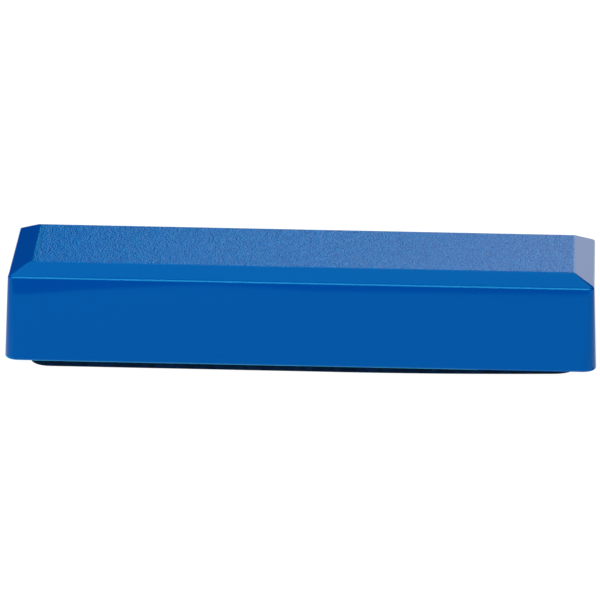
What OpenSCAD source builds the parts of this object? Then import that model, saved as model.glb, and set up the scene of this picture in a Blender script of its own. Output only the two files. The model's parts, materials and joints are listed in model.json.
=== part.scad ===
// Hand-held half of a magnetic glass cleaner: a sealed case of magnets on a removable felt pad.
// The origin is under the middle of the pad. X runs along the case, Y front to back and Z up.

/* [Case] */
// Length of the case at its bottom edge
case_length = 150; // [148:0.5:180]
// Depth of the case at its bottom edge, front to back
case_depth = 44; // [43:0.1:70]
// Height of the upright sides, from the bottom edge to the rim
rim_height = 22; // [20.5:0.1:30]
// Height of the bevel above the rim
bevel_rise = 2.6; // [1:0.1:4]
// How far the bevel runs in from the rim
bevel_run = 5.3; // [3:0.1:7]
// How far each side leans in between the bottom edge and the rim
draft_inset = 0.85; // [0.2:0.05:1.2]
// Radius of the upright corners at the bottom edge
corner_radius = 3.5; // [1.6:0.1:5]
// Radius of the upright corners at the rim
rim_corner = 1.4; // [0.4:0.1:1.8]
// Wall thickness of the case
wall = 2; // [1.6:0.1:2.4]
// Thickness of the case's flat top
roof = 2.2; // [1.6:0.1:3]

/* [Case ribs and bosses] */
// Number of ribs across the underside of the top
cross_ribs = 5; // [3:1:9]
// Distance from one cross rib to the next
cross_rib_pitch = 24; // [10:1:24]
// Distance between the two long ribs
long_rib_gap = 18; // [10:1:24]
// Thickness of a rib
rib_thickness = 1.5; // [1:0.1:2]
// Depth of a rib below the top's underside
rib_depth = 3.6; // [1:0.1:4]
// Outer radius of a screw boss
boss_radius = 3.2; // [2.6:0.1:3.2]
// Radius of the pilot hole in a screw boss
pilot_radius = 1.3; // [1.3:0.05:1.4]
// Depth of the pilot hole
pilot_depth = 11; // [9:0.5:13]

/* [Pad] */
// Length of the felt pad
pad_length = 138.4; // [136:0.2:140]
// Depth of the felt pad, front to back
pad_depth = 34.4; // [30:0.2:35]
// Radius of the pad's corners
pad_corner = 5; // [2:0.5:6]
// How far the pad stands below the case's bottom edge
pad_drop = 2.9; // [1.5:0.1:3]
// Thickness of the felt
felt_thickness = 3; // [2.5:0.1:3.2]
// Thickness of the loop fabric on the felt
backing_thickness = 0.6; // [0.3:0.1:0.8]
// Length of the hook tape
hook_length = 118; // [80:1:120]
// Width of the hook tape
hook_width = 25; // [20:1:30]
// Thickness of the hook tape
hook_thickness = 0.9; // [0.6:0.1:1.2]

/* [Magnets and yoke] */
// Length of one block magnet
magnet_length = 40; // [30:1:40]
// Width of one block magnet
magnet_width = 25; // [20:1:25]
// Height of one block magnet
magnet_height = 10; // [6:0.5:10]
// Length of the steel yoke plate
yoke_length = 123; // [90:1:123]
// Width of the steel yoke plate
yoke_width = 27; // [20:1:28]
// Thickness of the steel yoke plate
yoke_thickness = 2; // [1:0.5:2]
// Length of the foam spacer
foam_length = 112; // [60:1:120]
// Width of the foam spacer
foam_width = 22; // [14:1:26]

/* [Base plate] */
// Thickness of the plate's floor over the pad
plate_floor = 1.4; // [1.2:0.1:2]
// How far the plate's edge sits above the case's bottom edge
plate_recess = 0.4; // [0.2:0.1:0.8]
// Height of the walls round the magnets
pocket_height = 5; // [2:0.5:6]
// Thickness of the walls round the magnets
pocket_wall = 1; // [0.8:0.1:1.2]
// Uncompressed width of the seal's section
seal_width = 1.5; // [1:0.1:1.8]
// Height of the seal's section
seal_height = 0.8; // [0.5:0.1:1.2]

/* [Screws] */
// Distance between the screws along the case
screw_spacing_x = 132; // [131.6:0.1:132.4]
// Distance between the screws across the case
screw_spacing_y = 25.2; // [24:0.2:26]
// Length of a screw under its head
screw_length = 10; // [8:0.5:10]
// Radius of a screw's head
screw_head_radius = 2.8; // [2.4:0.1:2.8]
// Root radius of a screw's thread
screw_root_radius = 1.25; // [1:0.05:1.25]
// Outer radius of a screw's plain shank in the plate
screw_shank_radius = 1.5; // [1.3:0.05:1.5]

/* [Hidden] */

// Fineness of arcs, and of the corners inside a hull
arc_fn = 64;
hull_fn = 32;
// Thickness of the slabs that a hull joins
slice = 0.01;
// Extra length that carries a cut past the face it opens
past = 1;
// Smallest corner radii of the case: at the bottom edge, and at the rim and the top
least_base_corner = 0.6;
least_rim_corner = 0.3;
// Corner radii of the flat inner pieces
tape_corner = 2;
yoke_corner = 1.5;
foam_corner = 1;
seal_inner_corner = 0.5;
ledge_inner_corner = 1;
// Clearances: tape to backing, plate to case, pad to recess, magnet to pocket, screw to plate
hook_gap = 0.1;
plate_gap = 0.2;
pad_gap = 0.5;
pocket_gap = 0.15;
screw_gap = 0.1;
// The flange that stops the base plate: its height and how far it stands in from the wall
ledge_height = 1.5;
ledge_width = 1.6;
// Height of the plate's screw pads above its floor, which is also where the bosses end
screw_pad_height = 1.4;
// Screw details: the head's straight edge, the cross recess and the tip
head_edge = 0.2;
cross_slot = 0.7;
cross_span = 3;
cross_depth = 1;
tip_length = 1.6;
tip_radius = 0.3;

// Levels, from the pad's underside up
backing_z = felt_thickness;
hook_z = backing_z + backing_thickness + hook_gap;
floor_z = hook_z + hook_thickness;
plate_top_z = floor_z + plate_floor;
ledge_z = plate_top_z + seal_height;
magnet_z = plate_top_z;
yoke_z = magnet_z + magnet_height;
foam_z = yoke_z + yoke_thickness;
rim_z = pad_drop + rim_height;
case_top_z = rim_z + bevel_rise;
roof_z = case_top_z - roof;
rib_z = roof_z - rib_depth;
boss_z = plate_top_z + screw_pad_height;

// The pocket in the case's underside that the base plate drops into
pocket_length = case_length - 2 * wall;
pocket_depth = case_depth - 2 * wall;
pocket_corner = 1.5;
magnet_pitch = magnet_length + 2 * pocket_gap + pocket_wall;

// Block with its long side along X, centred on the Z axis and standing at height z
module block(length, depth, height, z) {
    translate([-length / 2, -depth / 2, z]) cube([length, depth, height]);
}

// Upright slab with rounded corners
module slab(length, depth, height, radius, z, fn = arc_fn) {
    inner_length = length - 2 * radius;
    inner_depth = depth - 2 * radius;
    translate([0, 0, z]) linear_extrude(height) union() {
        square([length, inner_depth], center = true);
        square([inner_length, depth], center = true);
        for (x = [-1, 1], y = [-1, 1])
            translate([x * inner_length / 2, y * inner_depth / 2]) circle(r = radius, $fn = fn);
    }
}

// The case's outer form, drawn in by an equal distance on every side and at the top.
// A thin slab at the bottom edge, one at the rim and one at the top give the draft and the bevel.
module case_form(inset, top_inset) {
    length = case_length - 2 * inset;
    depth = case_depth - 2 * inset;
    base_radius = max(corner_radius - inset, least_base_corner);
    rim_radius = max(rim_corner - inset, least_rim_corner);
    lean = 2 * draft_inset;
    taper = lean + 2 * bevel_run;
    hull() {
        slab(length, depth, slice, base_radius, pad_drop, hull_fn);
        slab(length - lean, depth - lean, slice, rim_radius, rim_z - top_inset, hull_fn);
        slab(
            length - taper, depth - taper, slice,
            least_rim_corner, case_top_z - top_inset - slice, hull_fn
        );
    }
}

// Puts its children at each of the four screws
module at_screws() {
    for (x = [-1, 1], y = [-1, 1])
        translate([x * screw_spacing_x / 2, y * screw_spacing_y / 2, 0]) children();
}

// Ribs across and along the underside of the case's top
module roof_ribs() {
    for (i = [0 : cross_ribs - 1])
        translate([(i - (cross_ribs - 1) / 2) * cross_rib_pitch, 0, 0])
            block(rib_thickness, case_depth, rib_depth + roof / 2, rib_z);
    for (y = [-1, 1])
        translate([0, y * long_rib_gap / 2, 0])
            block(case_length, rib_thickness, rib_depth + roof / 2, rib_z);
}

// Flange inside the wall that stops the base plate and squeezes the seal
module stop_ledge() {
    difference() {
        slab(pocket_length + wall, pocket_depth + wall, ledge_height, pocket_corner, ledge_z);
        slab(
            pocket_length - 2 * ledge_width, pocket_depth - 2 * ledge_width,
            ledge_height + 2 * past, ledge_inner_corner, ledge_z - past
        );
    }
}

module felt_pad() {
    color("#101623")
        slab(pad_length, pad_depth, felt_thickness, pad_corner, 0);
}

module pad_backing() {
    color("#2b2e33")
        slab(pad_length, pad_depth, backing_thickness, pad_corner, backing_z);
}

module hook_strip() {
    color("#1b1c1f")
        slab(hook_length, hook_width, hook_thickness, tape_corner, hook_z);
}

module base_plate() {
    edge_z = pad_drop + plate_recess;
    pockets_length = 3 * magnet_pitch + pocket_wall;
    pockets_width = magnet_width + 2 * pocket_gap + 2 * pocket_wall;
    countersink = screw_head_radius + screw_gap;
    clearance = screw_shank_radius + screw_gap;
    color("#26282c") difference() {
        union() {
            slab(
                pocket_length - 2 * plate_gap, pocket_depth - 2 * plate_gap,
                plate_top_z - edge_z, pocket_corner - plate_gap, edge_z
            );
            block(
                pockets_length, pockets_width,
                pocket_height + plate_floor / 2, plate_top_z - plate_floor / 2
            );
            at_screws()
                translate([0, 0, floor_z])
                    cylinder(r = boss_radius, h = boss_z - floor_z, $fn = arc_fn);
        }
        slab(
            pad_length + 2 * pad_gap, pad_depth + 2 * pad_gap,
            floor_z - edge_z + past, pad_corner + pad_gap, edge_z - past
        );
        for (i = [-1 : 1])
            translate([i * magnet_pitch, 0, 0])
                block(
                    magnet_length + 2 * pocket_gap, magnet_width + 2 * pocket_gap,
                    pocket_height + past, plate_top_z
                );
        at_screws() translate([0, 0, floor_z]) {
            translate([0, 0, -past])
                cylinder(r = clearance, h = boss_z - floor_z + 2 * past, $fn = arc_fn);
            translate([0, 0, -past]) cylinder(r = countersink, h = past + head_edge, $fn = arc_fn);
            translate([0, 0, head_edge])
                cylinder(r1 = countersink, r2 = clearance, h = countersink - clearance, $fn = arc_fn);
        }
    }
}

module base_seal() {
    outer_gap = 2 * plate_gap;
    color("#3c3f43") difference() {
        slab(
            pocket_length - outer_gap, pocket_depth - outer_gap,
            seal_height, pocket_corner - plate_gap, plate_top_z
        );
        slab(
            pocket_length - outer_gap - 2 * seal_width, pocket_depth - outer_gap - 2 * seal_width,
            seal_height + 2 * past, seal_inner_corner, plate_top_z - past
        );
    }
}

// Countersunk screw with its head down and a cross recess in the head
module screw() {
    cone = screw_head_radius - screw_shank_radius;
    shank_end = boss_z - floor_z;
    difference() {
        union() {
            cylinder(r = screw_head_radius, h = head_edge, $fn = arc_fn);
            translate([0, 0, head_edge])
                cylinder(r1 = screw_head_radius, r2 = screw_shank_radius, h = cone, $fn = arc_fn);
            cylinder(r = screw_shank_radius, h = shank_end, $fn = arc_fn);
            cylinder(r = screw_root_radius, h = screw_length, $fn = arc_fn);
            translate([0, 0, screw_length])
                cylinder(r1 = screw_root_radius, r2 = tip_radius, h = tip_length, $fn = arc_fn);
        }
        for (turn = [0, 90])
            rotate([0, 0, turn]) block(cross_span, cross_slot, cross_depth + past, -past);
    }
}

module base_screws() {
    color("#9aa0a6") at_screws() translate([0, 0, floor_z]) screw();
}

module magnet(place) {
    color("#3a3733")
        translate([place * magnet_pitch, 0, 0])
            block(magnet_length, magnet_width, magnet_height, magnet_z);
}

module yoke_plate() {
    color("#8e9398")
        slab(yoke_length, yoke_width, yoke_thickness, yoke_corner, yoke_z);
}

module foam_strip() {
    color("#55585c")
        slab(foam_length, foam_width, rib_z - foam_z, foam_corner, foam_z);
}

module case_shell() {
    color("#0058a8") difference() {
        union() {
            difference() {
                case_form(0, 0);
                case_form(wall, roof);
                slab(
                    pocket_length, pocket_depth,
                    ledge_z - pad_drop + past, pocket_corner, pad_drop - past
                );
            }
            stop_ledge();
            intersection() {
                case_form(wall / 2, roof / 2);
                union() {
                    roof_ribs();
                    at_screws()
                        translate([0, 0, boss_z])
                            cylinder(r = boss_radius, h = case_top_z - boss_z, $fn = arc_fn);
                }
            }
        }
        at_screws()
            translate([0, 0, boss_z - past])
                cylinder(r = pilot_radius, h = pilot_depth + past, $fn = arc_fn);
    }
}

felt_pad();
pad_backing();
hook_strip();
base_plate();
base_seal();
base_screws();
magnet(-1);  // magnet_left
magnet(0);  // magnet_middle
magnet(1);  // magnet_right
yoke_plate();
foam_strip();
case_shell();
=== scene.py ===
import json
import math
import random

import bmesh
import bpy
from mathutils import Matrix, Vector


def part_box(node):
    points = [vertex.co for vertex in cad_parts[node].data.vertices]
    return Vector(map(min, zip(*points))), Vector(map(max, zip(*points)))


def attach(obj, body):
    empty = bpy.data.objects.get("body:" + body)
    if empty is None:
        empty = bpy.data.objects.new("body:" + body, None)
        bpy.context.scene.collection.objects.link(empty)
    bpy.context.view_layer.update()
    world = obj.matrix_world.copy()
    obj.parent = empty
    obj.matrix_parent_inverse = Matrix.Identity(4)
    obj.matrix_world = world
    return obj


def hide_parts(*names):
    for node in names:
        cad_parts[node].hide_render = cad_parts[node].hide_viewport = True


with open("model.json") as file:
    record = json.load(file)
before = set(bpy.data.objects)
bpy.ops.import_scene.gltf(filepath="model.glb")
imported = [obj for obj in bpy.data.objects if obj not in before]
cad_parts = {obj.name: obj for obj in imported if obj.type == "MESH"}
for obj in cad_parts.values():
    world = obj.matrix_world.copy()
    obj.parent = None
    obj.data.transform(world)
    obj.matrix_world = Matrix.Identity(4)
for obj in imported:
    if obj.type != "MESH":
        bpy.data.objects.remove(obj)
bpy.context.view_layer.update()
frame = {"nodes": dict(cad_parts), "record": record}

MM = 0.001
SEED = 7

# The case. Its box is read from the frame, and its other sizes repeat those of part.scad.
# Insets are measured inwards from the side of the case's bottom edge.
CASE_LOW, CASE_HIGH = (Vector(corner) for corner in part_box("case_shell"))
CASE_LENGTH = CASE_HIGH.x - CASE_LOW.x
CASE_DEPTH = CASE_HIGH.y - CASE_LOW.y
CASE_BOTTOM = CASE_LOW.z
CASE_TOP = CASE_HIGH.z
BEVEL_RISE = 2.6 * MM
RIM_Z = CASE_TOP - BEVEL_RISE
DRAFT = 0.85 * MM
BEVEL_RUN = 5.3 * MM
TOP_INSET = DRAFT + BEVEL_RUN
BOTTOM_CORNER = 3.5 * MM
RIM_CORNER = 1.4 * MM
TOP_CORNER = 0.3 * MM
WALL = 2.0 * MM
ROOF = 2.2 * MM
LEDGE_WIDTH = 1.6 * MM
LEDGE_HEIGHT = 1.5 * MM
LEDGE_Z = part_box("base_seal")[1][2]
ROOF_Z = CASE_TOP - ROOF
# How far the flat top is followed in from its edge, to round that edge
FLAT_REACH = 4 * MM

# Radii of the upright corners inside the case: under the roof, at the wall, ledge and pocket
ROOF_CORNER = 0.3 * MM
WALL_CORNER = 0.6 * MM
LEDGE_CORNER = 1.0 * MM
POCKET_CORNER = 1.5 * MM

# Radii of the case's edges, from the lip of its underside up to the flat top
LIP_FILLET = 0.25 * MM
FOOT_FILLET = 0.65 * MM
RIM_FILLET = 0.8 * MM
BROW_FILLET = 2.5 * MM

# Ribs and bosses under the roof
CROSS_RIBS = 5
CROSS_RIB_PITCH = 24 * MM
LONG_RIB_Y = 9 * MM
RIB_THICKNESS = 1.5 * MM
RIB_DEPTH = 3.6 * MM
BOSS_RADIUS = 3.2 * MM
PILOT_RADIUS = 1.3 * MM
SCREW_X, SCREW_Y = 66 * MM, 12.6 * MM
BOSS_Z = 7.4 * MM

# Fineness of upright corners, edge fillets, screw bosses and strands
CORNER_STEPS = 10
CLOTH_CORNER_STEPS = 8
FILLET_STEPS = 8
LIP_STEPS = 3
BOSS_STEPS = 32
STRAND_SIDES = 3
# Edges between faces at a wider angle than this stay sharp in the case, or are softened in a CAD node
SHARP_ANGLE = math.radians(35)
SOFT_ANGLE = math.radians(40)


# ---- Mesh helpers ----

def new_piece(name, bm, smooth=True):
    """Turns a bmesh into a linked object."""
    bmesh.ops.recalc_face_normals(bm, faces=bm.faces)
    mesh = bpy.data.meshes.new(name)
    bm.to_mesh(mesh)
    bm.free()
    piece = bpy.data.objects.new(name, mesh)
    bpy.context.scene.collection.objects.link(piece)
    for polygon in mesh.polygons:
        polygon.use_smooth = smooth
    return piece


def ring_points(length, depth, radius, z, steps=CORNER_STEPS, divide=(1, 1)):
    """A rounded rectangle at height z, anticlockwise, with its long and short straight sides divided."""
    half_x, half_y = length / 2 - radius, depth / 2 - radius
    points = []
    for quarter, (sx, sy) in enumerate(((1, 1), (-1, 1), (-1, -1), (1, -1))):
        for step in range(steps + 1):
            turn = math.pi / 2 * (quarter + step / steps)
            x = sx * half_x + radius * math.cos(turn)
            y = sy * half_y + radius * math.sin(turn)
            points.append(Vector((x, y, z)))
        side = quarter % 2
        start, span = points[-1], 2 * (half_x, half_y)[side]
        way = Vector(((-1, 0, 0), (0, -1, 0), (1, 0, 0), (0, 1, 0))[quarter])
        points += [start + way * span * k / divide[side] for k in range(1, divide[side])]
    return points


def loft(bm, rings):
    """Joins rings of equal length with quads, and closes the first and the last with a face."""
    made = [[bm.verts.new(p) for p in ring] for ring in rings]
    for below, above in zip(made, made[1:]):
        for k in range(len(below)):
            after = (k + 1) % len(below)
            bm.faces.new((below[k], below[after], above[after], above[k]))
    bm.faces.new(made[0][::-1])
    bm.faces.new(made[-1])


def rounded(before, corner, after, radius, steps=FILLET_STEPS):
    """Points of an arc that rounds one corner of a profile of (inset, z, corner radius)."""
    flat = [Vector(p[:2]) for p in (before, corner, after)]
    to_before = (flat[0] - flat[1]).normalized()
    to_after = (flat[2] - flat[1]).normalized()
    half_angle = math.acos(max(-1, min(1, to_before.dot(to_after)))) / 2
    reach = radius / math.tan(half_angle)
    centre = flat[1] + (to_before + to_after).normalized() * radius / math.sin(half_angle)
    first, last = flat[1] + to_before * reach, flat[1] + to_after * reach
    start, end = first - centre, last - centre
    turn = math.atan2(start.x * end.y - start.y * end.x, start.dot(end))
    arc = []
    for step in range(steps + 1):
        point = centre + Matrix.Rotation(turn * step / steps, 2) @ start
        arc.append((point.x, point.y, corner[2]))
    return arc


def box_island(bm, low, high):
    """Adds a closed box to bm, for a rib."""
    made = bmesh.ops.create_cube(bm, size=1)["verts"]
    low, high = Vector(low), Vector(high)
    for vert in made:
        vert.co = Vector(low[i] + (high[i] - low[i]) * (vert.co[i] + 0.5) for i in range(3))


def tube_island(bm, centre, outer, inner, low, high):
    """Adds a thick-walled upright tube to bm, for a screw boss."""
    profile = ((inner, low), (outer, low), (outer, high), (inner, high))
    rings = []
    for k in range(BOSS_STEPS):
        turn = 2 * math.pi * k / BOSS_STEPS
        way = Vector((math.cos(turn), math.sin(turn), 0))
        rings.append([bm.verts.new(centre + way * r + Vector((0, 0, z))) for r, z in profile])
    for k in range(BOSS_STEPS):
        here, there = rings[k], rings[(k + 1) % BOSS_STEPS]
        for j in range(len(profile)):
            after = (j + 1) % len(profile)
            bm.faces.new((here[j], there[j], there[after], here[after]))


def strand(bm, path, radii):
    """Adds a thin tapering strand along a path, for a fibre, a loop or a hook."""
    rings = []
    for k, point in enumerate(path):
        ahead = path[min(k + 1, len(path) - 1)] - path[max(k - 1, 0)]
        side = ahead.orthogonal().normalized()
        other = ahead.cross(side).normalized()
        ring = []
        for j in range(STRAND_SIDES):
            turn = 2 * math.pi * j / STRAND_SIDES
            ring.append(bm.verts.new(point + (side * math.cos(turn) + other * math.sin(turn)) * radii[k]))
        rings.append(ring)
    for below, above in zip(rings, rings[1:]):
        for j in range(STRAND_SIDES):
            after = (j + 1) % STRAND_SIDES
            bm.faces.new((below[j], below[after], above[after], above[j]))
    bm.faces.new(rings[0][::-1])
    bm.faces.new(rings[-1])


# ---- The case ----

def outer_corner(inset, z):
    """Radius of the case's upright corners: it closes up to the rim, and then to the top's mitres."""
    climb = max(0, min(1, (z - CASE_BOTTOM) / (RIM_Z - CASE_BOTTOM)))
    side = BOTTOM_CORNER + (RIM_CORNER - BOTTOM_CORNER) * climb
    beyond = max(0, inset - DRAFT * climb)
    if climb < 0.5:
        return side - beyond
    return side + (TOP_CORNER - side) * min(1, beyond / BEVEL_RUN)


def case_profile():
    """The case's section from the middle of the roof's underside, out round the bottom edge, to the top."""
    pocket, ledge_in = WALL, WALL + LEDGE_WIDTH
    ledge_top = LEDGE_Z + LEDGE_HEIGHT
    lean_at_ledge = DRAFT * (ledge_top - CASE_BOTTOM) / (RIM_Z - CASE_BOTTOM)
    inner_rim = RIM_Z - ROOF
    inside = [
        (TOP_INSET + WALL, ROOF_Z, ROOF_CORNER),
        (DRAFT + WALL, inner_rim, ROOF_CORNER),
        (lean_at_ledge + WALL, ledge_top, WALL_CORNER),
        (ledge_in, ledge_top, LEDGE_CORNER),
        (ledge_in, LEDGE_Z, LEDGE_CORNER),
        (pocket, LEDGE_Z, POCKET_CORNER),
    ]
    lip = (pocket, CASE_BOTTOM, POCKET_CORNER)
    foot = (0, CASE_BOTTOM, BOTTOM_CORNER)
    rim = (DRAFT, RIM_Z, 0)
    brow = (TOP_INSET, CASE_TOP, 0)
    middle = (TOP_INSET + FLAT_REACH, CASE_TOP, 0)
    skin = rounded(lip, foot, rim, FOOT_FILLET)
    skin += rounded(foot, rim, brow, RIM_FILLET)
    skin += rounded(rim, brow, middle, BROW_FILLET)
    skin = [(inset, z, outer_corner(inset, z)) for inset, z, _ in skin]
    lip_edge = rounded(inside[-1], lip, foot, LIP_FILLET, steps=LIP_STEPS)
    return inside + lip_edge + skin


def make_case():
    """The case: one closed skin, with its ribs and screw bosses sunk into the roof."""
    bm = bmesh.new()
    rings = []
    for inset, z, corner in case_profile():
        rings.append(ring_points(CASE_LENGTH - 2 * inset, CASE_DEPTH - 2 * inset, corner, z))
    loft(bm, rings)
    sink = ROOF / 2
    inner_half_x = CASE_LENGTH / 2 - TOP_INSET - WALL
    inner_half_y = CASE_DEPTH / 2 - TOP_INSET - WALL
    for k in range(CROSS_RIBS):
        x = (k - (CROSS_RIBS - 1) / 2) * CROSS_RIB_PITCH
        box_island(
            bm,
            (x - RIB_THICKNESS / 2, -inner_half_y, ROOF_Z - RIB_DEPTH),
            (x + RIB_THICKNESS / 2, inner_half_y, ROOF_Z + sink),
        )
    for y in (-LONG_RIB_Y, LONG_RIB_Y):
        box_island(
            bm,
            (-inner_half_x, y - RIB_THICKNESS / 2, ROOF_Z - RIB_DEPTH),
            (inner_half_x, y + RIB_THICKNESS / 2, ROOF_Z + sink),
        )
    for x in (-SCREW_X, SCREW_X):
        for y in (-SCREW_Y, SCREW_Y):
            tube_island(bm, Vector((x, y, 0)), BOSS_RADIUS, PILOT_RADIUS, BOSS_Z, ROOF_Z + sink)
    case = new_piece("case_moulding", bm)
    weigh_normals(case)
    return case


def weigh_normals(piece):
    """Keeps flat faces flat in the shading, next to their rounded edges."""
    sharp = piece.modifiers.new("sharp_edges", "EDGE_SPLIT")
    sharp.split_angle = SHARP_ANGLE
    sharp.use_edge_sharp = False
    weights = piece.modifiers.new("flat_faces", "WEIGHTED_NORMAL")
    weights.weight = 100
    weights.keep_sharp = True


def soften(node, width, segments=2):
    """Rounds the sharp edges of a CAD node in the render, without touching its mesh."""
    bevel = frame["nodes"][node].modifiers.new("soft_edges", "BEVEL")
    bevel.width = width
    bevel.segments = segments
    bevel.limit_method = "ANGLE"
    bevel.angle_limit = SOFT_ANGLE
    bevel.harden_normals = False


# ---- Materials ----

def shader(name, color, roughness, **inputs):
    """A node material whose plain numbers sit on the shader's own sockets."""
    material = bpy.data.materials.new(name)
    material.use_nodes = True
    nodes, links = material.node_tree.nodes, material.node_tree.links
    bsdf = nodes["Principled BSDF"]
    bsdf.inputs["Base Color"].default_value = (*color, 1)
    bsdf.inputs["Roughness"].default_value = roughness
    for label, value in inputs.items():
        bsdf.inputs[label.replace("_", " ")].default_value = value
    return material, nodes, links, bsdf


def add(nodes, kind, **settings):
    """A new node with its own settings, such as its operation."""
    node = nodes.new(kind)
    for label, value in settings.items():
        setattr(node, label, value)
    return node


def maths(nodes, links, operation, *values):
    """A Math node fed with sockets or numbers."""
    node = add(nodes, "ShaderNodeMath", operation=operation)
    for k, value in enumerate(values):
        if isinstance(value, (int, float)):
            node.inputs[k].default_value = value
        else:
            links.new(value, node.inputs[k])
    return node.outputs[0]


def ramp(nodes, links, value, low, high):
    """Smoothly 0 to 1 as value goes from low to high."""
    node = add(nodes, "ShaderNodeMapRange", interpolation_type="SMOOTHSTEP")
    node.inputs["From Min"].default_value = low
    node.inputs["From Max"].default_value = high
    links.new(value, node.inputs["Value"])
    return node.outputs["Result"]


def noise(nodes, links, place, size, detail=2.0, roughness=0.5):
    """Noise whose features are about size metres across, centred on 0.5."""
    node = add(nodes, "ShaderNodeTexNoise")
    node.inputs["Scale"].default_value = 1 / size
    node.inputs["Detail"].default_value = detail
    node.inputs["Roughness"].default_value = roughness
    links.new(place, node.inputs["Vector"])
    return node.outputs["Fac"]


def two_tone(nodes, links, value, dark, light, target):
    """Blends two colours by value into a shader's colour socket."""
    mix = add(nodes, "ShaderNodeMix", data_type="RGBA")
    mix.inputs["A"].default_value = (*dark, 1)
    mix.inputs["B"].default_value = (*light, 1)
    links.new(value, mix.inputs["Factor"])
    links.new(mix.outputs["Result"], target)


def bump(nodes, links, height, distance, bsdf):
    """Turns height, from 0 to 1, into relief of that distance."""
    node = add(nodes, "ShaderNodeBump")
    node.inputs["Strength"].default_value = 1.0
    node.inputs["Distance"].default_value = distance
    links.new(height, node.inputs["Height"])
    links.new(node.outputs["Normal"], bsdf.inputs["Normal"])


# Where the grain ends: past the long sides and the right end of the flat top, short of the left end,
# with a ragged edge that fades
GRAIN_OVERRUN = 0.3 * MM
GRAIN_RAGGED = 1.2 * MM
RAGGED_SIZE = 3.2 * MM
GRAIN_FADE = 1.3 * MM
GRAIN_LEFT = 0.1 * MM
GRAIN_LEFT_FADE = 2.2 * MM
TOP_LOW, TOP_HIGH = CASE_TOP - 0.2 * MM, CASE_TOP - 0.02 * MM
# Its fine and coarse features, their shares, and how much longer they are from front to back
GRAIN_FINE = 0.5 * MM
GRAIN_COARSE = 1.5 * MM
FINE_SHARE = 0.8
COARSE_SHARE = 0.45
GRAIN_STRETCH = 2.0
# Half the sum of the shares, so that the bump's mean is flat
GRAIN_MEAN = 0.625
GRAIN_HEIGHT = 0.24 * MM
# Grain values between which its peaks turn lighter: painted glints, with some of the grain's whitish haze
HAZE_GLINT_LOW, HAZE_GLINT_HIGH = 0.35, 0.9
SMOOTH_ROUGHNESS = 0.05
GRAIN_ROUGHNESS = 0.3
BLUE = (0.0, 0.070, 0.365)
# The lighter colour of the grain's peaks: painted glints, with some of the grain's whitish haze
GRAIN_HAZE_AND_GLINT = (0.0, 0.135, 0.5)


def blue_plastic():
    """Glossy moulded plastic, with a spark-eroded grain on the flat top, whose peaks carry painted glints as
    a lighter colour, with some of the grain's whitish haze.
    """
    material, nodes, links, bsdf = shader(
        "blue_plastic", BLUE, SMOOTH_ROUGHNESS, IOR=1.5, Specular_Tint=(0.035, 0.72, 0.85, 1)
    )
    place = add(nodes, "ShaderNodeTexCoord").outputs["Object"]
    axes = add(nodes, "ShaderNodeSeparateXYZ")
    links.new(place, axes.inputs[0])
    ragged = noise(nodes, links, place, RAGGED_SIZE, detail=3.0)
    ragged = maths(nodes, links, "MULTIPLY_ADD", ragged, GRAIN_RAGGED, -GRAIN_RAGGED / 2)
    half_x = CASE_LENGTH / 2 - TOP_INSET
    half_y = CASE_DEPTH / 2 - TOP_INSET
    from_left = maths(nodes, links, "ADD", axes.outputs["X"], half_x - GRAIN_LEFT)
    from_right = maths(nodes, links, "SUBTRACT", half_x + GRAIN_OVERRUN, axes.outputs["X"])
    out_y = maths(nodes, links, "ABSOLUTE", axes.outputs["Y"])
    from_long = maths(nodes, links, "SUBTRACT", half_y + GRAIN_OVERRUN, out_y)
    inside = maths(nodes, links, "ADD", maths(nodes, links, "MINIMUM", from_right, from_long), ragged)
    inside_left = maths(nodes, links, "ADD", from_left, ragged)
    grained = maths(
        nodes, links, "MULTIPLY",
        ramp(nodes, links, inside, -GRAIN_FADE / 2, GRAIN_FADE / 2),
        ramp(nodes, links, inside_left, 0, GRAIN_LEFT_FADE),
    )
    on_top = ramp(nodes, links, axes.outputs["Z"], TOP_LOW, TOP_HIGH)
    grained = maths(nodes, links, "MULTIPLY", grained, on_top)

    along = add(nodes, "ShaderNodeMapping")
    along.inputs["Scale"].default_value = (1, 1 / GRAIN_STRETCH, 1)
    links.new(place, along.inputs["Vector"])
    fine = noise(nodes, links, along.outputs[0], GRAIN_FINE, detail=1.5)
    coarse = noise(nodes, links, along.outputs[0], GRAIN_COARSE, detail=1.0)
    fine = maths(nodes, links, "MULTIPLY", fine, FINE_SHARE)
    grain = maths(nodes, links, "MULTIPLY_ADD", coarse, COARSE_SHARE, fine)
    height = maths(nodes, links, "MULTIPLY", maths(nodes, links, "SUBTRACT", grain, GRAIN_MEAN), grained)
    bump(nodes, links, height, GRAIN_HEIGHT, bsdf)

    rise = GRAIN_ROUGHNESS - SMOOTH_ROUGHNESS
    links.new(maths(nodes, links, "MULTIPLY_ADD", grained, rise, SMOOTH_ROUGHNESS), bsdf.inputs["Roughness"])
    # Lighter colour on the grain's peaks: painted glints, with some of the grain's whitish haze
    haze_and_glint = ramp(nodes, links, grain, HAZE_GLINT_LOW, HAZE_GLINT_HIGH)
    haze_and_glint = maths(nodes, links, "MULTIPLY", haze_and_glint, grained)
    two_tone(nodes, links, haze_and_glint, BLUE, GRAIN_HAZE_AND_GLINT, bsdf.inputs["Base Color"])
    return material


def dark_plastic():
    """Satin dark plastic of the base plate, with a light moulded texture."""
    material, nodes, links, bsdf = shader("dark_plastic", (0.02, 0.021, 0.024), 0.45)
    place = add(nodes, "ShaderNodeTexCoord").outputs["Object"]
    fine = noise(nodes, links, place, 0.35 * MM)
    bump(nodes, links, fine, 0.02 * MM, bsdf)
    flow = noise(nodes, links, place, 9 * MM)
    two_tone(nodes, links, flow, (0.017, 0.018, 0.021), (0.026, 0.027, 0.03), bsdf.inputs["Base Color"])
    return material


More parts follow.
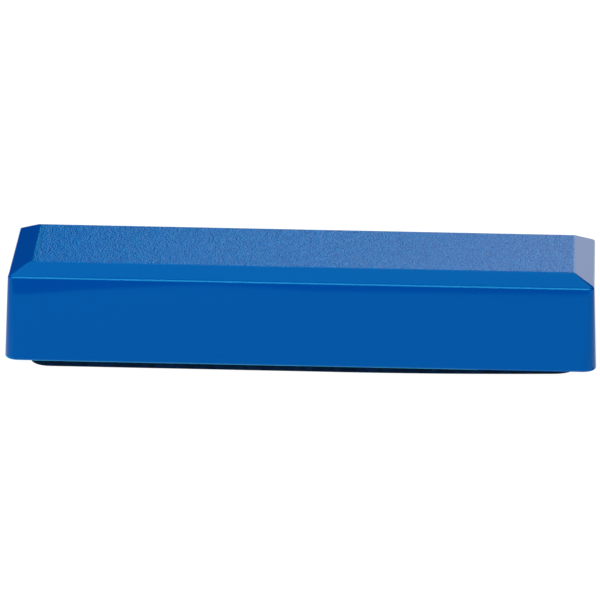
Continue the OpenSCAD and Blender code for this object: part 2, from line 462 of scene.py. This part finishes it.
def felt_cloth():
    """Needled felt: matted fibres in near black and navy."""
    material, nodes, links, bsdf = shader("felt", (0.0018, 0.019, 0.064), 1.0, Specular_IOR_Level=0.05)
    place = add(nodes, "ShaderNodeTexCoord").outputs["Object"]
    stretched = add(nodes, "ShaderNodeMapping")
    stretched.inputs["Scale"].default_value = (1, 1, 2.2)
    links.new(place, stretched.inputs["Vector"])
    fibres = noise(nodes, links, stretched.outputs[0], 0.3 * MM, detail=6.0, roughness=0.7)
    clumps = noise(nodes, links, place, 2.5 * MM, detail=3.0)
    bump(nodes, links, fibres, 0.25 * MM, bsdf)
    matted = ramp(nodes, links, maths(nodes, links, "MULTIPLY", fibres, clumps), 0.15, 0.4)
    two_tone(nodes, links, matted, (0.0009, 0.011, 0.036), (0.0028, 0.027, 0.09), bsdf.inputs["Base Color"])
    return material


def loop_cloth():
    """Knitted loop fabric laminated to the back of the felt."""
    material, nodes, links, bsdf = shader(
        "loop_fabric", (0.03, 0.032, 0.036), 0.9,
        Sheen_Weight=0.03, Sheen_Roughness=0.5, Specular_IOR_Level=0.05,
    )
    place = add(nodes, "ShaderNodeTexCoord").outputs["Object"]
    knit = noise(nodes, links, place, 0.5 * MM, detail=5.0, roughness=0.65)
    bump(nodes, links, knit, 0.15 * MM, bsdf)
    loops = ramp(nodes, links, knit, 0.3, 0.7)
    two_tone(nodes, links, loops, (0.018, 0.02, 0.023), (0.05, 0.053, 0.058), bsdf.inputs["Base Color"])
    return material


def hook_nylon():
    """Moulded nylon of the hook tape."""
    material, nodes, links, bsdf = shader("hook_tape", (0.012, 0.012, 0.014), 0.38, IOR=1.53)
    place = add(nodes, "ShaderNodeTexCoord").outputs["Object"]
    weave = noise(nodes, links, place, 0.6 * MM, detail=3.0)
    bump(nodes, links, weave, 0.04 * MM, bsdf)
    two_tone(nodes, links, weave, (0.009, 0.009, 0.011), (0.018, 0.018, 0.02), bsdf.inputs["Base Color"])
    return material


def seal_rubber():
    """Moulded rubber with a dusty bloom."""
    material, nodes, links, bsdf = shader("seal_rubber", (0.04, 0.042, 0.045), 0.75)
    place = add(nodes, "ShaderNodeTexCoord").outputs["Object"]
    bloom = noise(nodes, links, place, 1.5 * MM, detail=4.0)
    bump(nodes, links, bloom, 0.03 * MM, bsdf)
    two_tone(nodes, links, bloom, (0.03, 0.031, 0.034), (0.055, 0.057, 0.06), bsdf.inputs["Base Color"])
    return material


def plated_steel(name, light, roughness, streak):
    """Zinc-plated steel with rolling streaks along X."""
    material, nodes, links, bsdf = shader(name, light, roughness, Metallic=1.0)
    place = add(nodes, "ShaderNodeTexCoord").outputs["Object"]
    along = add(nodes, "ShaderNodeMapping")
    along.inputs["Scale"].default_value = (1 / streak, 1, 1)
    links.new(place, along.inputs["Vector"])
    lines = noise(nodes, links, along.outputs[0], 0.3 * MM, detail=4.0, roughness=0.6)
    cloud = noise(nodes, links, place, 6 * MM, detail=3.0)
    links.new(maths(nodes, links, "MULTIPLY_ADD", cloud, 0.25, roughness - 0.12), bsdf.inputs["Roughness"])
    bump(nodes, links, lines, 0.01 * MM, bsdf)
    dull = tuple(c * 0.8 for c in light)
    two_tone(nodes, links, cloud, dull, light, bsdf.inputs["Base Color"])
    return material


def ferrite():
    """Sintered ferrite: dark grey ceramic with a sandy skin and small pits."""
    material, nodes, links, bsdf = shader("ferrite", (0.045, 0.043, 0.042), 0.6)
    place = add(nodes, "ShaderNodeTexCoord").outputs["Object"]
    sand = noise(nodes, links, place, 0.25 * MM, detail=3.0)
    pits = noise(nodes, links, place, 1.1 * MM, detail=2.0)
    skin = maths(nodes, links, "ADD", sand, ramp(nodes, links, pits, 0.25, 0.38))
    bump(nodes, links, skin, 0.05 * MM, bsdf)
    two_tone(nodes, links, sand, (0.03, 0.029, 0.028), (0.07, 0.067, 0.064), bsdf.inputs["Base Color"])
    return material


def foam_rubber():
    """Closed-cell foam, shown by its cut cells."""
    material, nodes, links, bsdf = shader("foam", (0.09, 0.095, 0.1), 0.9)
    place = add(nodes, "ShaderNodeTexCoord").outputs["Object"]
    cells = add(nodes, "ShaderNodeTexVoronoi")
    cells.inputs["Scale"].default_value = 1 / (0.5 * MM)
    links.new(place, cells.inputs["Vector"])
    cut = cells.outputs["Distance"]
    bump(nodes, links, cut, 0.15 * MM, bsdf)
    two_tone(nodes, links, cut, (0.05, 0.053, 0.057), (0.12, 0.125, 0.13), bsdf.inputs["Base Color"])
    return material


def dress(piece, material):
    """Gives a piece one material in place of all its others."""
    piece.data.materials.clear()
    piece.data.materials.append(material)


# ---- The pad and its fastening ----

PAD_CORNER = 5 * MM
TAPE_CORNER = 2 * MM
LEAST_CORNER = 0.4 * MM
PAD_HALF_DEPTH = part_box("felt_pad")[1][1]
# How the pad lies: its shift to the right, and where and how far its front edge runs in
PAD_SHIFT = 0.4 * MM
WEAR_START = 10 * MM
WEAR_END = 68 * MM
WEAR_DEPTH = 2.6 * MM
# Soft edges of the felt, the knit and the tape
FELT_EDGE = 0.2 * MM
KNIT_EDGE = 0.08 * MM
TAPE_EDGE = 0.06 * MM
EDGE_STEPS = 4
# A cut surface wanders inwards by up to WOBBLE, in waves along X, along Y and across both
WOBBLE = 0.05 * MM
WAVE_X, WAVE_Y, WAVE_ACROSS = 4.3 * MM, 3.1 * MM, 1.9 * MM
ACROSS_SHARE = 0.6
WAVE_PEAK = 2 + ACROSS_SHARE
# The underside, up to this share of the soft edge, stays flat
FLAT_SHARE = 0.3
# Distance between points along an edge, and the insets of the rings across the faces
CLOTH_PITCH = 1.5 * MM
FELT_RINGS = [n * MM for n in (1, 2.2, 4, 7, 11, 15)]
KNIT_RINGS = [n * MM for n in (1, 3, 7, 12)]
# Fibres round the felt's edge: how deep they root, how low they may hang, their least and greatest
# height as a share of the felt's thickness, and their least and greatest length
FIBRES = 5200
FIBRE_RADIUS = 0.014 * MM
FIBRE_RADII = [FIBRE_RADIUS, FIBRE_RADIUS * 0.9, FIBRE_RADIUS * 0.4]
FIBRE_ROOT = 0.15 * MM
FIBRE_CLEARANCE = 0.05 * MM
FIBRE_HEIGHTS = (0.12, 0.97)
FIBRE_LENGTHS = (0.2, 0.6)
# Loops on the fabric: how deep they root, how far they stay below its box, how far they stray from
# their rows, and their least and greatest half width
LOOP_PITCH = 1.5 * MM
LOOP_MARGIN = 2 * MM
LOOP_PILE = 0.32 * MM
LOOP_RADIUS = 0.035 * MM
LOOP_ROOT = 0.04 * MM
LOOP_CLEARANCE = 0.05 * MM
LOOP_STRAY = 0.15
LOOP_HALF_WIDTHS = (0.25, 0.5)
# Hooks on the tape: how deep they root, how far they stay above its box, how far alternate rows are
# staggered, and the size of the bend
HOOK_PITCH = 1.6 * MM
HOOK_MARGIN = 3 * MM
HOOK_FIELD = 0.6 * MM
HOOK_ROOT = 0.05 * MM
HOOK_CLEARANCE = 0.06 * MM
HOOK_STAGGER = 0.4 * MM
HOOK_ACROSS = 0.22 * MM
HOOK_CURL = 0.14 * MM
HOOK_RADII = [r * MM for r in (0.09, 0.08, 0.07, 0.065, 0.06, 0.04)]
HOOK_SWEEP = math.pi * 0.85
# Points along a loop or a hook
STRAND_POINTS = 6


def slab_profile(thickness, edge, nested):
    """Insets and heights for a soft-edged slab: nested rings below, a rounded wall, nested rings above."""
    wall = []
    for step in range(EDGE_STEPS + 1):
        turn = math.pi / 2 * step / EDGE_STEPS
        wall.append((edge * (1 - math.sin(turn)), edge * (1 - math.cos(turn))))
    low = [(inset, 0.0) for inset in reversed(nested)] + wall
    middle = [(0.0, thickness * share) for share in (0.3, 0.5, 0.7)]
    high = [(inset, thickness - z) for inset, z in reversed(low)]
    return low + middle + high


def laid(point):
    """The pad as laid by hand, a little to the right, with its front edge run in towards that end."""
    share = max(0, (point.x - WEAR_START) / (WEAR_END - WEAR_START))
    forward = max(0, -point.y / PAD_HALF_DEPTH)
    return point + Vector((PAD_SHIFT, WEAR_DEPTH * share ** 2 * forward, 0))


def soft_slab(bm, low, high, corner, edge, nested, seed):
    """A slab with soft edges whose surface wanders a little, as cut cloth does, inside its own box."""
    draw = random.Random(seed)
    length, depth, thickness = (high[i] - low[i] for i in range(3))
    phases = [draw.uniform(0, 2 * math.pi) for _ in range(3)]
    divide = (round(length / CLOTH_PITCH), round(depth / CLOTH_PITCH))
    middle_z = low[2] + thickness / 2
    rings = []
    for inset, z in slab_profile(thickness, edge, nested):
        radius = max(corner - inset, LEAST_CORNER)
        size = (length - 2 * inset, depth - 2 * inset)
        ring = []
        for point in ring_points(*size, radius, low[2] + z, CLOTH_CORNER_STEPS, divide):
            wave = math.sin(point.x / WAVE_X + phases[0]) + math.sin(point.y / WAVE_Y + phases[1])
            wave += ACROSS_SHARE * math.sin((point.x - point.y) / WAVE_ACROSS + phases[2])
            squeeze = WOBBLE * (WAVE_PEAK + wave) / (2 * WAVE_PEAK)
            pull = Vector((-point.x / (length / 2), -point.y / (depth / 2), 0)) * squeeze
            lift = 0 if z < edge * FLAT_SHARE else -squeeze * (point.z - middle_z) / (thickness / 2)
            ring.append(laid(point + pull + Vector((0, 0, lift))))
        rings.append(ring)
    loft(bm, rings)


def edge_place(length, depth, radius, share):
    """A point on the outline of a rounded rectangle, with the way out of it."""
    straight_x, straight_y = length - 2 * radius, depth - 2 * radius
    quarter = math.pi / 2 * radius
    spans = (straight_x, quarter, straight_y, quarter) * 2
    left = share * sum(spans)
    corners = ((-1, -1), (1, -1), (1, 1), (-1, 1))
    for k, span in enumerate(spans):
        if left > span:
            left -= span
            continue
        side = k // 2
        turn = math.pi / 2 * (side - 1)
        out = Vector((math.cos(turn), math.sin(turn), 0))
        cx, cy = corners[side]
        if k % 2 == 0:
            start = Vector((cx * straight_x / 2, cy * straight_y / 2, 0)) + out * radius
            return start + Matrix.Rotation(math.pi / 2, 3, "Z") @ out * left, out
        cx, cy = corners[(side + 1) % 4]
        out = Matrix.Rotation(left / radius, 3, "Z") @ out
        return Vector((cx * straight_x / 2, cy * straight_y / 2, 0)) + out * radius, out
    return Vector((length / 2, 0, 0)), Vector((1, 0, 0))


def make_felt(low, high, corner):
    """The felt, with loose fibres round its edge."""
    bm = bmesh.new()
    soft_slab(bm, low, high, corner, FELT_EDGE, FELT_RINGS, SEED)
    draw = random.Random(SEED + 1)
    length, depth, thickness = (high[i] - low[i] for i in range(3))
    for _ in range(FIBRES):
        base, out = edge_place(length, depth, corner, draw.random())
        base.z = low[2] + draw.uniform(*FIBRE_HEIGHTS) * thickness
        base -= out * FIBRE_ROOT
        along = Vector((-out.y, out.x, 0)) * draw.gauss(0, 0.9)
        way = (out * draw.uniform(0.25, 1) + along + Vector((0, 0, draw.gauss(0, 0.5)))).normalized()
        reach = draw.uniform(*FIBRE_LENGTHS) * MM
        bend = Vector((draw.gauss(0, 0.3), draw.gauss(0, 0.3), draw.gauss(0, 0.3)))
        path = [base, base + way * reach * 0.5, base + (way + bend * 0.5).normalized() * reach]
        for point in path:
            point.z = max(point.z, low[2] + FIBRE_CLEARANCE)
        strand(bm, [laid(point) for point in path], FIBRE_RADII)
    return new_piece("felt_pad_soft", bm)


def make_backing(low, high, corner):
    """Loop fabric: a thin knit with small standing loops in rows on its upper face."""
    bm = bmesh.new()
    knit_top = high[2] - LOOP_PILE
    soft_slab(bm, low, (high[0], high[1], knit_top), corner, KNIT_EDGE, KNIT_RINGS, SEED + 2)
    draw = random.Random(SEED + 3)
    columns = int((high[0] - low[0] - LOOP_MARGIN) / LOOP_PITCH)
    rows = int((high[1] - low[1] - LOOP_MARGIN) / LOOP_PITCH)
    for i in range(columns):
        for j in range(rows):
            x = (i - (columns - 1) / 2) * LOOP_PITCH + draw.gauss(0, LOOP_STRAY) * MM
            y = (j - (rows - 1) / 2) * LOOP_PITCH + draw.gauss(0, LOOP_STRAY) * MM
            turn = draw.uniform(0, math.pi)
            side = Vector((math.cos(turn), math.sin(turn), 0)) * draw.uniform(*LOOP_HALF_WIDTHS) * MM
            rise = draw.uniform(0.75, 1) * (LOOP_PILE - LOOP_CLEARANCE)
            foot = Vector((x, y, knit_top - LOOP_ROOT))
            path = []
            for k in range(STRAND_POINTS):
                sweep = math.pi * k / (STRAND_POINTS - 1)
                path.append(foot + side * math.cos(sweep) + Vector((0, 0, rise * math.sin(sweep))))
            strand(bm, [laid(point) for point in path], [LOOP_RADIUS] * STRAND_POINTS)
    return new_piece("loop_backing", bm)


def make_hooks(low, high, corner):
    """Hook tape: a thin strip with rows of small bent hooks that point down at the loops."""
    bm = bmesh.new()
    strip_low = low[2] + HOOK_FIELD
    length, depth = high[0] - low[0], high[1] - low[1]
    loft(bm, [
        ring_points(length - 2 * inset, depth - 2 * inset, corner, z, CLOTH_CORNER_STEPS)
        for inset, z in ((TAPE_EDGE, strip_low), (0, strip_low + TAPE_EDGE), (0, high[2]))
    ])
    draw = random.Random(SEED + 4)
    columns = int((length - HOOK_MARGIN) / HOOK_PITCH)
    rows = int((depth - HOOK_MARGIN) / HOOK_PITCH)
    for i in range(columns):
        for j in range(rows):
            way = 1 if j % 2 else -1
            x = (i - (columns - 1) / 2) * HOOK_PITCH + way * HOOK_STAGGER
            y = (j - (rows - 1) / 2) * HOOK_PITCH
            path = []
            for k in range(STRAND_POINTS):
                sweep = HOOK_SWEEP * k / (STRAND_POINTS - 1)
                drop = (HOOK_FIELD - HOOK_CLEARANCE) * math.sin(min(sweep, math.pi / 2))
                curl = HOOK_CURL * math.sin(max(sweep - math.pi / 2, 0))
                across = HOOK_ACROSS * (1 - math.cos(sweep))
                sway = draw.gauss(0, 0.01) * MM
                path.append(Vector((x + way * across, y + sway, strip_low - drop + curl)))
            path[0].z = strip_low + HOOK_ROOT
            strand(bm, path, HOOK_RADII)
    return new_piece("hook_tape", bm)


# ---- Camera, light and floor ----

SENSOR = 36.0
LENS = 441.86
CLIP_START, CLIP_END = 0.05, 60
CAMERA_ELEVATION = math.radians(17.962)
CAMERA_TURN = math.radians(-2.238)
CAMERA_ROLL = math.radians(0.511)
CAMERA_DISTANCE = 1.8846
AIM_RIGHT = -0.825 * MM
AIM_UP = 10.112 * MM


def make_camera():
    """A long lens from a little above the front, turned and rolled slightly."""
    facing = Matrix.Rotation(-CAMERA_TURN, 4, "Z") @ Matrix.Rotation(-CAMERA_ELEVATION, 4, "X")
    facing = facing @ Matrix.Rotation(-CAMERA_ROLL, 4, "Y")
    right, forward, up = (facing.to_3x3() @ Vector(axis) for axis in ((1, 0, 0), (0, 1, 0), (0, 0, 1)))
    data = bpy.data.cameras.new("camera")
    data.sensor_width = SENSOR
    data.lens = LENS
    data.clip_start = CLIP_START
    data.clip_end = CLIP_END
    camera = bpy.data.objects.new("camera", data)
    bpy.context.scene.collection.objects.link(camera)
    place = Vector((0, 0, CASE_BOTTOM)) + right * AIM_RIGHT + up * AIM_UP - forward * CAMERA_DISTANCE
    camera.matrix_world = Matrix.Translation(place) @ facing @ Matrix.Rotation(math.pi / 2, 4, "X")
    bpy.context.scene.camera = camera


WHITE = (1, 1, 1)
PALE_CYAN = (0.85, 1, 1)
CYAN = (0.15, 1, 1)
WARM = (1, 0.72, 0.74)
DOME = (0.002, 0.008, 0.03)
# The floor lies a little below the pad, so that the two faces don't fight
FLOOR_SIZE = 30
FLOOR_GLOW = 1.0
FLOOR_WHITE = 0.1
FLOOR_GAP = 0.05 * MM


def make_floor():
    """A pale light table: it glows evenly, so that it stays white right up to the pad."""
    bm = bmesh.new()
    below_pad = Matrix.Translation((0, 0, -FLOOR_GAP))
    bmesh.ops.create_grid(bm, x_segments=1, y_segments=1, size=FLOOR_SIZE, matrix=below_pad)
    floor = new_piece("floor", bm, smooth=False)
    material, *_ = shader(
        "floor_white", (FLOOR_WHITE,) * 3, 0.9, Specular_IOR_Level=0.0,
        Emission_Color=(*WHITE, 1), Emission_Strength=FLOOR_GLOW,
    )
    dress(floor, material)


def make_card(name, points, color, radiance):
    """A flat card outside the view that only glossy surfaces see: a reflector or a black flag."""
    bm = bmesh.new()
    bm.faces.new([bm.verts.new(point) for point in points])
    card = new_piece(name, bm, smooth=False)
    material = bpy.data.materials.new(name)
    material.use_nodes = True
    nodes, links = material.node_tree.nodes, material.node_tree.links
    nodes.clear()
    glow = add(nodes, "ShaderNodeEmission")
    glow.inputs["Color"].default_value = (*color, 1)
    glow.inputs["Strength"].default_value = radiance
    links.new(glow.outputs[0], add(nodes, "ShaderNodeOutputMaterial").inputs["Surface"])
    dress(card, material)
    card.visible_camera = False
    card.visible_shadow = False
    card.visible_diffuse = False


def upright_card(name, left, right, low, high, y, color, radiance):
    """A card that faces the object from the front or the back."""
    corners = ((left, y, low), (right, y, low), (right, y, high), (left, y, high))
    make_card(name, corners, color, radiance)


def level_card(name, left, right, near, far, z, color, radiance):
    """A card that lies over or under the object."""
    corners = ((left, near, z), (right, near, z), (right, far, z), (left, far, z))
    make_card(name, corners, color, radiance)


def make_softbox(name, place, width, height, energy):
    """A soft light on the object, left out of its reflections, which the cards make."""
    data = bpy.data.lights.new(name, "AREA")
    data.shape = "RECTANGLE"
    data.size = width
    data.size_y = height
    data.energy = energy
    lamp = bpy.data.objects.new(name, data)
    lamp.location = place
    lamp.rotation_euler = (-Vector(place)).to_track_quat("-Z", "Y").to_euler()
    lamp.visible_camera = False
    lamp.visible_glossy = False
    bpy.context.scene.collection.objects.link(lamp)


def make_world():
    """A dim even dome, shown as white where the camera sees past the floor."""
    world = bpy.data.worlds.new("studio")
    bpy.context.scene.world = world
    world.use_nodes = True
    nodes, links = world.node_tree.nodes, world.node_tree.links
    nodes.clear()
    seen = add(nodes, "ShaderNodeLightPath").outputs["Is Camera Ray"]
    back = add(nodes, "ShaderNodeBackground")
    two_tone(nodes, links, seen, DOME, WHITE, back.inputs["Color"])
    links.new(back.outputs[0], add(nodes, "ShaderNodeOutputWorld").inputs["Surface"])


# Place, width, height and power of the soft lights
SOFTBOXES = (
    ("key", (-0.1, -0.7, 0.65), 0.6, 0.5, 5.15),
    ("top", (-0.35, 0.1, 0.95), 0.9, 0.9, 7.7),
)
# Reflectors. An upright card has left, right, low, high and y. A level card has left, right, near, far
# and z. Then come colour and radiance. The rim mirrors the front cards, the front bevel the overhead
# one, and the top and the right bevel the back ones. The left bevel mirrors the dark between them. The
# last four lie just over the floor, three of them under the front edge of the case, where only its foot
# mirrors them. The line of light along the foot fades to the right.
FOOT_NEAR, FOOT_EDGE, FOOT_FAR = -0.03, -0.0215, -0.0145
CARD_Z = 0.3 * MM
CARDS = (
    (upright_card, "card_front", -0.6, 0.5, 0.15, 1.1, -0.75, WARM, 10.0),
    (upright_card, "card_front_high", -0.6, 0.5, 1.1, 2.2, -0.75, WHITE, 3.0),
    (level_card, "card_over", -0.6, 0.6, 0.05, 0.8, 1.0, CYAN, 1.35),
    (upright_card, "card_back_left", -0.13, -0.04, 0.2, 1.0, 0.8, CYAN, 0.9),
    (upright_card, "card_back", -0.04, 0.03, 0.22, 1.0, 0.8, PALE_CYAN, 1.5),
    (upright_card, "card_back_right", 0.03, 0.3, 0.22, 0.5, 0.8, PALE_CYAN, 1.35),
    (upright_card, "card_right", 0.1, 0.8, 0.02, 0.22, 0.8, WHITE, 1.25),
    (level_card, "card_foot", -0.085, 0.085, FOOT_NEAR, FOOT_EDGE, CARD_Z, PALE_CYAN, 1.3),
    (level_card, "foot_left", -0.085, 0.0, FOOT_EDGE, FOOT_FAR, CARD_Z, CYAN, 1.8),
    (level_card, "foot_middle", 0.0, 0.045, FOOT_EDGE, FOOT_FAR, CARD_Z, CYAN, 1.3),
    (level_card, "foot_right", 0.045, 0.085, FOOT_EDGE, FOOT_FAR, CARD_Z, CYAN, 0.3),
)
# Near edge of the black flag on the table, as x and distance in front in millimetres, from left to
# right. The front face mirrors it as the dark band under its rim.
FLAG_EDGE = (
    (-400, 102), (-75, 104), (-68, 107.5), (-57, 111.5), (-42, 116),
    (-28, 119), (0, 114.5), (60, 116), (400, 118),
)
FLAG_HALF, FLAG_FAR = 0.4, -0.72
FLAG_Z = 0.5 * MM


def make_lights():
    """Plain colour management, the dome, the soft lights and the cards."""
    settings = bpy.context.scene.view_settings
    settings.view_transform = "Standard"
    settings.look = "None"
    make_world()
    for softbox in SOFTBOXES:
        make_softbox(*softbox)
    for make, *card in CARDS:
        make(*card)
    near = [(x * MM, -y * MM, FLAG_Z) for x, y in FLAG_EDGE]
    far = [(FLAG_HALF, FLAG_FAR, FLAG_Z), (-FLAG_HALF, FLAG_FAR, FLAG_Z)]
    make_card("flag_front", near + far, WHITE, 0.0)


def build():
    """Dresses the CAD nodes, and puts the detailed pieces in place of four of them."""
    slots = {
        "blue_plastic": blue_plastic(), "dark_plastic": dark_plastic(), "felt": felt_cloth(),
        "loop_fabric": loop_cloth(), "hook_tape": hook_nylon(), "seal_rubber": seal_rubber(),
        "screw_steel": plated_steel("screw_steel", (0.62, 0.62, 0.6), 0.3, 2),
        "yoke_steel": plated_steel("yoke_steel", (0.5, 0.51, 0.52), 0.38, 40),
        "ferrite": ferrite(), "foam": foam_rubber(),
    }
    for part in frame["record"]["subparts"]:
        dress(frame["nodes"][part["node"]], slots[part["material_slot"]])
    soften("base_plate", 0.2 * MM)
    soften("base_screws", 0.06 * MM, 1)
    soften("yoke_plate", 0.2 * MM)
    for magnet in ("magnet_left", "magnet_middle", "magnet_right"):
        soften(magnet, 0.4 * MM)

    swaps = (
        (make_case(), "case_shell", "case", "blue_plastic"),
        (make_felt(*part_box("felt_pad"), PAD_CORNER), "felt_pad", "pad", "felt"),
        (make_backing(*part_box("pad_backing"), PAD_CORNER), "pad_backing", "pad", "loop_fabric"),
        (make_hooks(*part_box("hook_strip"), TAPE_CORNER), "hook_strip", "case", "hook_tape"),
    )
    for piece, node, body, slot in swaps:
        dress(piece, slots[slot])
        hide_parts(node)
        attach(piece, body)


make_camera()
build()
make_floor()
make_lights()
